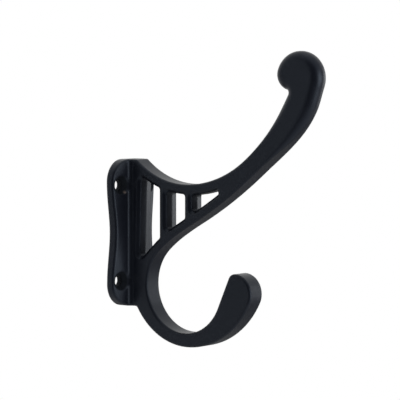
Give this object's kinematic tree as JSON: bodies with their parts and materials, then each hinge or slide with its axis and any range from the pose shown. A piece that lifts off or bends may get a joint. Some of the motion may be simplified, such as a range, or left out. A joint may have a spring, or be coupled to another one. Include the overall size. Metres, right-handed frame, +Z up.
{
  "type": "coat hook",
  "caption": "Black cast hat and coat hook with a screwed backplate, pierced web, ball-ended upper arm and lower hook.",
  "frame": {"origin": "middle of the backplate's wall face, at the centre of the screw holes", "axes": "+Z up, +Y into the wall, the hook stands out towards -Y, +X across the symmetric width"},
  "size_m": [0.0288, 0.105, 0.1277],
  "materials": {
    "black_coat": "satin"
  },
  "bodies": {
    "root": {"coat_hook": "black_coat"}
  },
  "joints": []
}
